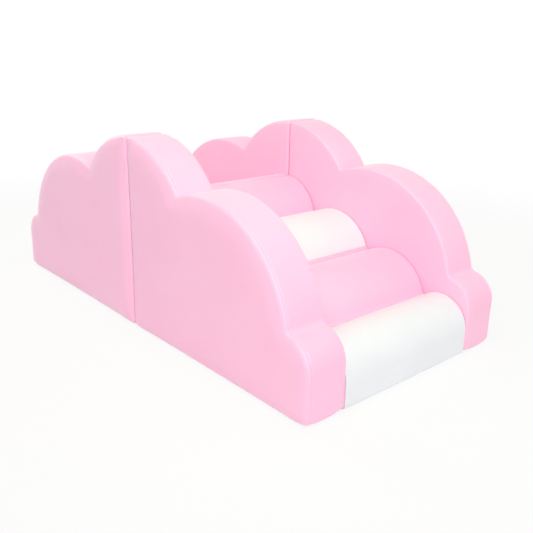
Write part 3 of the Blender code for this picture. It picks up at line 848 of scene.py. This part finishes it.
def bag(module):
    """A coarse closed copy of the cover in even squares, pinned along its seams."""
    piece = closed_skin(module, "bag", 0.0, foam)
    even = piece.modifiers.new("even squares", "REMESH")
    even.mode, even.voxel_size = "VOXEL", VOXEL
    graph = bpy.context.evaluated_depsgraph_get()
    piece.data = bpy.data.meshes.new_from_object(piece.evaluated_get(graph))
    piece.modifiers.clear()
    points = np.array([v.co for v in piece.data.vertices])
    seams = seam_points(module)
    near = [k for k, p in enumerate(points) if np.min(np.sum((seams - p) ** 2, 1)) < PIN_REACH ** 2]
    piece.vertex_groups.new(name="seam").add(near, 1.0, "REPLACE")
    cloth = piece.modifiers.new("cover", "CLOTH")
    cloth.point_cache.frame_start, cloth.point_cache.frame_end = 1, FRAMES
    cloth.collision_settings.use_collision = False
    cloth.settings.quality = 4
    cloth.settings.vertex_group_mass = "seam"
    cloth.settings.use_pressure = True
    cloth.settings.uniform_pressure_force = PRESSURE
    cloth.settings.shrink_min = SLACK
    cloth.settings.tension_stiffness = cloth.settings.compression_stiffness = STIFFNESS
    cloth.settings.effector_weights.gravity = 0
    return piece


def take_swell(module, piece, graph):
    """Keeps how far each point of the bag moved, evened out over its neighbours and capped."""
    rest = np.array([v.co for v in piece.data.vertices])
    move = np.array([v.co for v in piece.evaluated_get(graph).data.vertices]) - rest
    pairs = np.array([e.vertices for e in piece.data.edges])
    count = np.bincount(pairs.ravel(), minlength=len(rest))[:, None]
    for _ in range(EVEN_ROUNDS):
        total = np.zeros_like(move)
        np.add.at(total, pairs[:, 0], move[pairs[:, 1]])
        np.add.at(total, pairs[:, 1], move[pairs[:, 0]])
        move = 0.5 * move + 0.5 * total / count
    length = np.linalg.norm(move, axis=1)[:, None] + 1e-9
    module.swell = move * MOVE_CAP * np.tanh(length / MOVE_CAP) / length
    module.skin_points = rest
    module.skin_faces = [tuple(f.vertices) for f in piece.data.polygons]
    module.skin = BVHTree.FromPolygons([Vector(p) for p in rest], module.skin_faces)
    return float(length.max()), float(np.mean(length > MOVE_CAP))


def pump_up(modules):
    bags = [bag(module) for module in modules]
    for number in range(1, FRAMES + 1):
        scene.frame_set(number)
    graph = bpy.context.evaluated_depsgraph_get()
    for module, piece in zip(modules, bags):
        most, held = take_swell(module, piece, graph)
        print(f"the bag of {module.name} swells up to {1000 * most:.1f} mm,",
              f"{held:.0%} of its points past the cap")
    for piece in bags:
        bpy.data.objects.remove(piece)
    scene.frame_set(1)


print(f"a cover keeps at most {1000 * MOVE_CAP:.1f} mm of its bag's swell")

# %% [markdown]
# ## Side panels
#
# A side panel is one piece of cloth. It starts inside the seam with a narrow turned-in allowance, as
# the sewn cloth does, then bends round the edge or lies flat beside the seam, and fills the face.
# The part beside the seam is a grid round the outline. Inside it, a triangle lattice is joined to the
# grid's last row by a Delaunay routine, because a flat face has no natural grid. The whole face swells
# towards its middle, and the sharp valley between two lobes pulls a few shallow folds into it.

# %% Side panel
FILL_STEP, FILL_MARGIN, BEND_SHARE = 0.0095, 0.55, 0.8
INNER_SEAM_DEPTH = 0.35
SWELL_START, SWELL_REACH, SWELL_POWER = 0.004, 0.024, 1.4
INNER_START, INNER_REACH = 0.002, 0.009
PROUD, PROUD_REACH = 0.0028, 0.110
HIDDEN_SWELL, STRIP_SWELL = 0.06, {True: 0.25, False: 0.35}
STRIP_START, STRIP_END, STRIP_TOP, STRIP_FADE = 0.045, 0.575, 0.063, 0.030
BLOCK_CROWN, BLOCK_RING = 0.0012, 0.003
HIDDEN_WAVES, FACE_SEEDS = 0.3, {1: 3.1, -1: 5.7}
SIDE_SEED, STRIP_SEED, STRIP_WAVE_SEED = 11, 20, 2.2
FOLDS, FOLD_DEPTH, FOLD_REACH, FOLD_BASE = 7, 0.0010, 0.038, 0.6


def lattice(outline, margin, step):
    """Points of a triangle lattice that lie inside the outline by more than the margin."""
    low, high = outline.points.min(0), outline.points.max(0)
    rows = np.arange(low[1], high[1], step * math.sqrt(3) / 2)
    points = []
    for k, z in enumerate(rows):
        points += [(u, z) for u in np.arange(low[0] + (k % 2) * step / 2, high[0], step)]
    points = np.array(points)
    points = points[outline.inside(points)]
    depth = outline.depth(points)
    return points[depth > margin], depth[depth > margin]


def face_height(module, side, points, depth):
    """How far the flat face stands proud at its distance from the outline."""
    outer = module.wall and side > 0
    crown = WALL_CROWN if outer else INNER_CROWN if module.wall else BLOCK_CROWN
    start, swell = (SWELL_START, SWELL_REACH) if outer else (INNER_START, INNER_REACH)
    height = crown * (1 - np.exp(-(np.maximum(depth - start, 0) / swell) ** SWELL_POWER))
    height += module.proud[side] * np.exp(-(points[:, 0] / PROUD_REACH) ** 2)
    calm = np.clip(depth / CALM_REACH, 0, 1) * (1.0 if outer else HIDDEN_WAVES)
    seed = module.seed + FACE_SEEDS[side]
    height += calm * waves(np.column_stack([points, np.full(len(points), seed)]), seed)
    if outer:
        return height + crease_pull(module, points)
    return height * strip_room(points)


def strip_room(points):
    """0 where a hook or loop strip lies on the face and 1 away from it."""
    u, z = points.T
    over = soft_step(u, STRIP_START - STRIP_FADE, STRIP_START)
    over = over * (1 - soft_step(u, STRIP_END, STRIP_END + STRIP_FADE))
    return 1 - over * (1 - soft_step(z, STRIP_TOP, STRIP_TOP + STRIP_FADE))


def crease_pull(module, points):
    """The sharp valley between two lobes pulls shallow folds into the face beside it."""
    away = points - valley(MIDDLE_LOBE, TOP_LOBE, CREASE)
    reach = np.linalg.norm(away, axis=1)
    folds = 0.5 + 0.5 * np.cos(FOLDS * np.arctan2(away[:, 1], away[:, 0]) + module.seed)
    return -FOLD_DEPTH * np.exp(-reach / FOLD_REACH) * (FOLD_BASE + folds)


def side_panel(module, name, side, finish):
    """The cloth over one flat side, from inside its seam to the middle of the face."""
    outline, r, half = module.outline, module.edges[side], module.half_width
    every = np.arange(len(outline.points))
    if module.wall:
        ring = r * math.pi / 2
        last = ring * BEND_SHARE
        t = np.array([s for s in NEAR_SEAM if s < last] + [last, ring])
        tilt = math.pi / 2 - t / r
        tight = module.tightness(every, side)[:, None]
        insets = tight * (r - r * np.sin(tilt))
        margin = r
    else:
        tight = np.ones((len(every), 1))
        t = np.array([s for s in NEAR_SEAM if s < BLOCK_RING])
        ring = t[-1]
        tilt = np.zeros(len(t))
        insets = r + t
        margin = r + ring
    v = side * (half - tight * (r - r * np.cos(tilt)))
    points, out = module.grid(every, insets, v, tilt)
    along = np.repeat(outline.along, len(t)).reshape(points.shape[:2])
    deep = 1.0 if side > 0 or not module.wall else INNER_SEAM_DEPTH
    seam = beside_seam(np.broadcast_to(t, along.shape), along, module.seed + SIDE_SEED * side, deep)
    flat = outline.drawn_in(every, tight * margin)[:, 0]
    rim = face_height(module, side, flat, tight[:, 0] * margin)
    points = points + out * (seam + rim[:, None] * (t / ring) ** 2)[..., None]
    grid = np.concatenate([points[:, :1] - SEAM_ALLOWANCE * out[:, :1], points], 1)
    rows, columns = grid.shape[:2]
    faces = quads(rows, columns, closed=True)
    inner, depth = lattice(outline, margin + FILL_STEP * FILL_MARGIN, FILL_STEP)
    spots = [Vector(p) for p in np.concatenate([flat, inner])]
    found = delaunay_2d_cdt(spots, [], [list(range(rows))], 1, 1e-7)
    height = face_height(module, side, inner, depth)
    filled = module.world(inner[:, 0], side * half, inner[:, 1])
    filled[:, 1] += module.side * side * height
    number = [i * columns + columns - 1 for i in range(rows)]
    number += [rows * columns + k for k in range(len(inner))]
    for face in found[2]:
        faces.append(tuple(number[found[3][i][0]] for i in face))
    if side < 0:
        faces = [f[::-1] for f in faces]
    share = 1.0 if module.wall and side > 0 else HIDDEN_SWELL
    points = module.draped(np.concatenate([grid.reshape(-1, 3), filled]), share)
    return module.add(name, points, faces, finish)


print(f"a wall's outer face is crowned by {1000 * WALL_CROWN:.1f} mm in the middle")

# %% [markdown]
# ## Strips over the top
#
# The strip that runs over the edge between two side panels is a gusset. On the blocks it is as wide as
# the lane and becomes the rolls and the slide. It is a plain grid along a run of the outline, with
# closer columns near both seams. Where two runs meet, the strip turns in as well, which draws a fine
# line across a valley. The third roll's cover is sewn under the white one above it, and its folded edge
# stands up as a small welt.

# %% Gusset
CROSS_GROOVE, CROSS_WIDTH = 0.0006, 0.0016
WELTED = "roll_3"
WELT, WELT_PLACE, WELT_WIDTH = 0.0026, 0.0060, 0.0042
BLOCK_BULGE, FREE_HEIGHT, FREE_START = 0.0004, 0.10, 0.006
JOINT_BULGE, JOINT_FACE, JOINT_BULGE_FADE = 0.0012, 0.001, (0.02, 0.06)
JOINT_FADE, FLOOR_FADE = (0.004, 0.030), (0.010, 0.050)
WIDE_STEP = 0.0125


def half_across(module, side):
    """Columns from one seam to the middle: distance from the seam, inset, place and tilt."""
    r, half = module.edges[side], module.half_width
    bend = 0.0 if module.wall else r * math.pi / 2
    middle = bend + half - r
    t = NEAR_SEAM + ([] if module.wall or bend <= NEAR_SEAM[-1] else [bend])
    count = math.ceil((middle - t[-1]) / WIDE_STEP)
    t = np.array(t + list(np.linspace(t[-1], middle, count + 1)[1:]))
    tilt = np.minimum(t / r, math.pi / 2) if bend else np.full(len(t), math.pi / 2)
    insets = r - r * np.sin(tilt) if bend else np.zeros(len(t))
    v = half - r + r * np.cos(tilt) - np.maximum(t - bend, 0)
    return np.stack([t, insets, side * v, tilt])


def across(module):
    """Columns from seam to seam over the whole strip."""
    return np.concatenate([half_across(module, -1), half_across(module, 1)[:, :-1][:, ::-1]], 1)


def gusset(module, name, run, finish):
    """The strip along one run of the outline, from side panel to side panel."""
    outline = module.outline
    stations = outline.run(run)
    t, insets, v, tilt = across(module)
    r = module.edges[1]
    wider = 1 + r * (1 - module.tightness(stations, 1)) / (module.half_width - r)
    points, out = module.grid(stations, insets, np.where(v > 0, wider[:, None], 1.0) * v, tilt)
    far, along = np.broadcast_arrays(t, outline.along[stations][:, None])
    flat = outline.points[stations]
    height = np.zeros(far.shape)
    for side in (-1, 1):
        pick = v < 0 if side < 0 else v >= 0
        deep = 1.0 if side > 0 or not module.wall else INNER_SEAM_DEPTH
        seed = module.seed + STRIP_SEED + SIDE_SEED * side
        height[:, pick] = beside_seam(far[:, pick], along[:, pick], seed, deep)
    free = np.clip(flat[:, 1] / FREE_HEIGHT, 0, 1) * (flat[:, 0] > FREE_START)
    bulge = free * BLOCK_BULGE
    if module.wall:
        bulge = JOINT_BULGE * (flat[:, 0] < JOINT_FACE) * soft_step(flat[:, 1], *JOINT_BULGE_FADE)
    reach = np.where(v < 0, module.half_width - module.edges[-1], module.half_width - module.edges[1])
    height += bulge[:, None] * np.maximum(1 - (v / reach) ** 2, 0)
    calm = np.clip(far / CALM_REACH, 0, 1) * np.clip(free[:, None], 0.2, 1)
    spot = np.stack(np.broadcast_arrays(flat[:, :1], v, flat[:, 1:]), -1)
    height += calm * waves(spot, module.seed + STRIP_WAVE_SEED)
    walked = np.concatenate([[0], np.cumsum(np.linalg.norm(np.diff(flat, axis=0), axis=1))])
    to_end = np.minimum(walked, walked[-1] - walked)
    height -= (CROSS_GROOVE * np.exp(-(to_end / CROSS_WIDTH) ** 2))[:, None]
    if run == WELTED:
        height += (WELT * np.exp(-((walked[-1] - walked - WELT_PLACE) / WELT_WIDTH) ** 2))[:, None]
    points = points + out * height[..., None]
    turned = [points[:, k] - SEAM_ALLOWANCE * out[:, k] for k in (0, -1)]
    grid = np.concatenate([turned[0][:, None], points, turned[1][:, None]], 1)
    out = np.concatenate([out[:, :1], out, out[:, -1:]], 1)
    ends = [grid[k] - SEAM_ALLOWANCE * out[k] for k in (0, -1)]
    grid = np.concatenate([ends[0][None], grid, ends[1][None]], 0)
    from_joint = soft_step(np.abs(grid[..., 0]) - JOINT_X, *JOINT_FADE)
    above_floor = soft_step(grid[..., 2], *FLOOR_FADE)
    share = STRIP_SWELL[module.wall] * np.maximum(from_joint, HIDDEN_SWELL) * above_floor
    grid = module.draped(grid, share)
    return module.add(name, grid, quads(*grid.shape[:2]), finish)


print(f"the third roll's folded edge stands {1000 * WELT:.1f} mm proud")

# %% [markdown]
# ## The base
#
# The underside is a flat sheet of gripping cloth, with a slot for the zip whose lips turn up into the
# module. It is a plain grid with the squares over the slot left out. A boolean cut would give the slot
# too, but it leaves long thin faces, and a grid that has its lines at the slot's ends needs no cut.

# %% Base panel
BASE_STEP = 0.030
ZIP_LOW, ZIP_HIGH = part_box("step_block_zip")
ZIP_START, ZIP_END = ZIP_LOW.x - JOINT_X, ZIP_HIGH.x - JOINT_X
ZIP_Z = (ZIP_LOW.z + ZIP_HIGH.z) / 2
SLOT_HALF = 0.0070
LIP_TURN = [(0.0, 0.0), (0.0004, 0.0010), (0.0010, 0.0040), (0.0010, 0.0070)]


def splits(low, high, step):
    return np.linspace(low, high, max(1, math.ceil((high - low) / step)) + 1)


def base_panel(module):
    """The flat underside, with the zip's slot left open and its lips turned up."""
    r = min(module.edges.values())
    reach = module.half_width - r
    bend = [] if module.wall else np.radians([0, 30, 60])
    u = np.concatenate([
        splits(BASE_CORNER, ZIP_START, BASE_STEP),
        splits(ZIP_START, ZIP_END, BASE_STEP)[1:],
        splits(ZIP_END, LENGTH - BASE_CORNER, BASE_STEP)[1:],
    ])
    right = splits(SLOT_HALF, module.half_width - module.edges[1], BASE_STEP)
    left = splits(SLOT_HALF, module.half_width - module.edges[-1], BASE_STEP)
    round_edge = np.array([reach + r * math.cos(a) for a in reversed(bend)])
    v = np.concatenate([-round_edge[::-1], -left[::-1], right, round_edge])
    rise = np.array([r - r * math.sin(a) for a in reversed(bend)])
    z = np.concatenate([rise[::-1], np.zeros(len(left) + len(right)), rise])
    points = list(module.world(u[:, None], v, z).reshape(-1, 3))
    middle = len(rise) + len(left) - 1
    faces = []
    for i in range(len(u) - 1):
        for k in range(len(v) - 1):
            if k != middle or not ZIP_START - 1e-5 < u[i] < ZIP_END - 1e-5:
                a, b = i * len(v) + k, (i + 1) * len(v) + k
                faces.append((a, b, b + 1, a + 1))
    rim = [(ZIP_START, -SLOT_HALF), (ZIP_END, -SLOT_HALF), (ZIP_END, SLOT_HALF), (ZIP_START, SLOT_HALF)]
    way = [(-1, -1), (1, -1), (1, 1), (-1, 1)]
    first = len(points)
    for out, up in LIP_TURN:
        points += [module.world(a + out * p, b + out * q, up) for (a, b), (p, q) in zip(rim, way)]
    for k in range(len(LIP_TURN) - 1):
        for i in range(4):
            j = (i + 1) % 4
            a = first + 4 * k
            faces.append((a + i, a + 4 + i, a + 4 + j, a + j))
    return module.add("base_cloth", np.array(points), faces, base_cloth)


print(f"the zip's slot is {ZIP_END - ZIP_START:.3f} m long")

# %% [markdown]
# ## The zip
#
# A coil zip is two woven tapes, each with a row of small teeth, and a stop at either end. A tooth is so
# small that a block with a wider middle is enough. An array modifier could repeat it, but the two rows
# are set half a pitch apart, and one loop says that in a line.

# %% Zip
TOOTH_PITCH = 0.0026
TAPE_WIDTH, TAPE_HALF = 0.0100, 0.0003
COIL_GAP, COIL_WIDTH, COIL_HALF = 0.0005, 0.0016, 0.0012
TOOTH_SHARE, STOP_HALF, STOP_WIDTH = 0.34, 0.0025, 0.0030


def box_points(u, v, z, size, squeeze):
    """A small block whose upper and lower faces are narrower than its middle."""
    a, b, c = size
    points = []
    for level, share in ((-1, squeeze), (0, 1.0), (1, squeeze)):
        for p, q in ((-1, -1), (1, -1), (1, 1), (-1, 1)):
            points.append((u + a * p * share, v + b * q * share, z + c * level))
    faces = [(0, 1, 2, 3), (11, 10, 9, 8)]
    for k in (0, 4):
        faces += [(k + i, k + 4 + i, k + 4 + (i + 1) % 4, k + (i + 1) % 4) for i in range(4)]
    return points, faces


def zip_chain(module):
    """Two tapes, a row of teeth on each, and a stop at either end."""
    points, faces = [], []

    def put(made):
        first = len(points)
        points.extend(made[0])
        faces.extend(tuple(first + i for i in f) for f in made[1])

    middle_u, half_u = (ZIP_START + ZIP_END) / 2, (ZIP_END - ZIP_START) / 2
    for side in (-1, 1):
        v = side * (COIL_GAP + TAPE_WIDTH / 2)
        put(box_points(middle_u, v, ZIP_Z, (half_u, TAPE_WIDTH / 2, TAPE_HALF), 0.999))
        for k in range(int(2 * half_u / TOOTH_PITCH)):
            u = ZIP_START + (k + 0.5 + 0.25 * side) * TOOTH_PITCH
            v = side * (COIL_GAP + COIL_WIDTH / 2)
            put(box_points(u, v, ZIP_Z, (TOOTH_PITCH * TOOTH_SHARE, COIL_WIDTH / 2, COIL_HALF), 0.6))
    for end, way in ((ZIP_START, 1), (ZIP_END, -1)):
        put(box_points(end + way * STOP_HALF, 0.0, ZIP_Z, (STOP_HALF, STOP_WIDTH, COIL_HALF), 0.8))
    placed = np.array([module.world(u, v, z) for u, v, z in points])
    return module.add("zip_chain", placed, faces, zip_cloth, smooth=False)


print("a zip has", 2 * int((ZIP_END - ZIP_START) / TOOTH_PITCH), "teeth")

# %% [markdown]
# ## Hook-and-loop tapes
#
# Stiff hook tapes and fuzzy loop tapes hold the modules together, low at their sides and where the two
# halves meet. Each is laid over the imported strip's place, thin at its woven edges and thick between
# them. The hooks are far too fine for a mesh, so the finish carries them.

# %% Hook-and-loop tapes
TAPE_STEP, TAPE_END = 0.006, 0.35
TAPE_SHARES = [0.0, 0.012, 0.10, 0.16, 0.5, 0.84, 0.90, 0.988, 1.0]
TAPE_LEVELS = [0.15, 0.55, 0.55, 0.95, 1.0, 0.95, 0.55, 0.55, 0.15]


def tape(module, node, name, finish):
    """A tape on the face of the CAD strip, with a thin woven edge and a thicker middle."""
    low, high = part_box(f"{module.name}_{node}")
    size = high - low
    thin = min(range(3), key=lambda k: size[k])
    wide = min((k for k in range(3) if k != thin), key=lambda k: size[k])
    long = 3 - thin - wide
    count = int(size[long] / TAPE_STEP)
    outward = outward_of(module, thin, low, high)
    points = []
    for i in range(count + 1):
        for share, level in zip(TAPE_SHARES, TAPE_LEVELS):
            p = [0.0, 0.0, 0.0]
            p[long] = low[long] + size[long] * i / count
            p[wide] = low[wide] + size[wide] * share
            rise = level * (TAPE_END if i in (0, count) else 1.0)
            p[thin] = low[thin] + size[thin] * rise if outward > 0 else high[thin] - size[thin] * rise
            points.append(p)
    columns = len(TAPE_SHARES)
    under = len(points)
    for p in list(points):
        q = list(p)
        q[thin] = low[thin] if outward > 0 else high[thin]
        points.append(q)
    faces = quads(count + 1, columns)
    faces += [f[::-1] for f in quads(count + 1, columns, offset=under)]
    edge = [i * columns for i in range(count + 1)]
    other = [i * columns + columns - 1 for i in range(count + 1)]
    for a, b in list(zip(edge, edge[1:])) + [(q, p) for p, q in zip(other, other[1:])]:
        faces.append((b, a, under + a, under + b))
    for k in range(columns - 1):
        last = count * columns + k
        faces.append((k, k + 1, under + k + 1, under + k))
        faces.append((last + 1, last, under + last, under + last + 1))
    points = np.array(points)
    return module.add(name, points, faces, finish, flip=looks_in(points, faces))


def looks_in(points, faces):
    """True where the four-sided faces of a closed form look inwards, from the sign of its volume."""
    a, b, c, d = points[np.array(faces)].transpose(1, 0, 2)
    return float(np.sum(np.cross(a, b) * c) + np.sum(np.cross(a, c) * d)) < 0


def outward_of(module, thin, low, high):
    """The side that a tape faces: away from the middle plane or from the module's own face."""
    middle = (low + high) / 2
    if thin == 1:
        return 1 if middle.y > module.centre_y else -1
    return -module.half


print(f"a tape is laid in steps of {1000 * TAPE_STEP:.0f} mm")

# %% [markdown]
# ## Put the modules together
#
# Each wall and block is now made from the same few calls. The seed gives each one its own waves. The
# slide half's walls stand a little proud towards the near side beside the joint, which draws the
# small step that the photograph shows there.

# %% The modules
walls = []
for half_name, half, seed in (("step", 1, 1.3), ("slide", -1, 8.2)):
    for side_name, side in (("left", -1), ("right", 1)):
        name, own_seed = f"{half_name}_{side_name}_wall", seed + 3.6 * (side > 0)
        wall = Module(name, wall_outline(STEP, half < 0), WALL_HALF, WALL_EDGES,
                      half, side, side * WALL_CENTRE, own_seed, True)
        if half < 0:
            wall.proud[-side] = PROUD
        walls.append(wall)
step_block = Module("step_block", step_outline(STEP), BLOCK_HALF, BLOCK_EDGES, 1, 1, 0.0, 17.4, False)
slide_block = Module("slide_block", slide_outline(STEP), BLOCK_HALF, BLOCK_EDGES, -1, 1, 0.0, 21.8, False)
pump_up([*walls, step_block, slide_block])
print(len(walls), "walls and 2 blocks stand in place")

# %% [markdown]
# ## Dress the modules
#
# Every piece stands for one solid of the imported model and rides on its body, so a module that is pulled
# off takes along all that is sewn to it. One function for what all modules share keeps them alike.

# %% Dress the walls


def dress(module, tapes):
    """What every module has beside its covers."""
    module.keep(closed_skin(module, "core", CORE_DEPTH, foam), "foam", "foam", fill=0.95)
    module.keep(base_panel(module), "base_cloth", "base_panel")
    module.keep(zip_chain(module), "zip", "zip")
    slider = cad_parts[f"{module.name}_zip_slider"]
    slider.material_slots[0].material = slider_metal.material
    for node, slot, finish in tapes:
        module.keep(tape(module, node, node.replace("strip", "tape"), finish), slot, node)


def pad(piece, module, node, slot="pink_cover"):
    return module.keep(piece, slot, node, fill=0.9)


for wall in walls:
    pad(side_panel(wall, "outer_cover", 1, pink), wall, "outer_panel")
    pad(side_panel(wall, "inner_cover", -1, pink), wall, "inner_panel")
    pad(gusset(wall, "crest_cover", "crest", pink), wall, "crest_strip")
    pad(gusset(wall, "shoulder_cover", "shoulder", pink), wall, "shoulder_strip")
    dress(wall, [("hook_strip", "hook_tape", hook_cloth)])
outer_cover = bpy.data.objects[f"{walls[0].name}_outer_cover"]
print("the first wall's outer cover has", len(outer_cover.data.polygons), "faces")

# %% [markdown]
# ## The rolls and the slide
#
# On the step block the gussets are the rolls, pink and white in turn from the top down, because each is
# sewn as a piece of its own. On the slide block one gusset runs from the brow to the foot.

# %% Dress the blocks
side_tapes = [(f"{side}_loop_strip", "loop_tape", loop_cloth) for side in ("left", "right")]
for block in (step_block, slide_block):
    pad(side_panel(block, "left_cover", -1, pink), block, "left_side")
    pad(side_panel(block, "right_cover", 1, pink), block, "right_side")
for number in (1, 2, 3, 4):
    run = f"roll_{number}"
    finish, slot = (pink, "pink_cover") if number % 2 else (white, "white_cover")
    pad(gusset(step_block, f"{run}_pad", run, finish), step_block, f"{run}_cover", slot)
pad(gusset(slide_block, "slope_pad", "slope", pink), slide_block, "slope_cover")
dress(step_block, [*side_tapes, ("joint_loop_strip", "loop_tape", loop_cloth)])
dress(slide_block, [*side_tapes, ("joint_hook_strip", "hook_tape", hook_cloth)])

# %% [markdown]
# ## Finish the scene
#
# Last, the view layer is brought up to date. Stuffed covers stand a little proud of the solids that they
# stand for.

# %% Finish
bpy.context.view_layer.update()
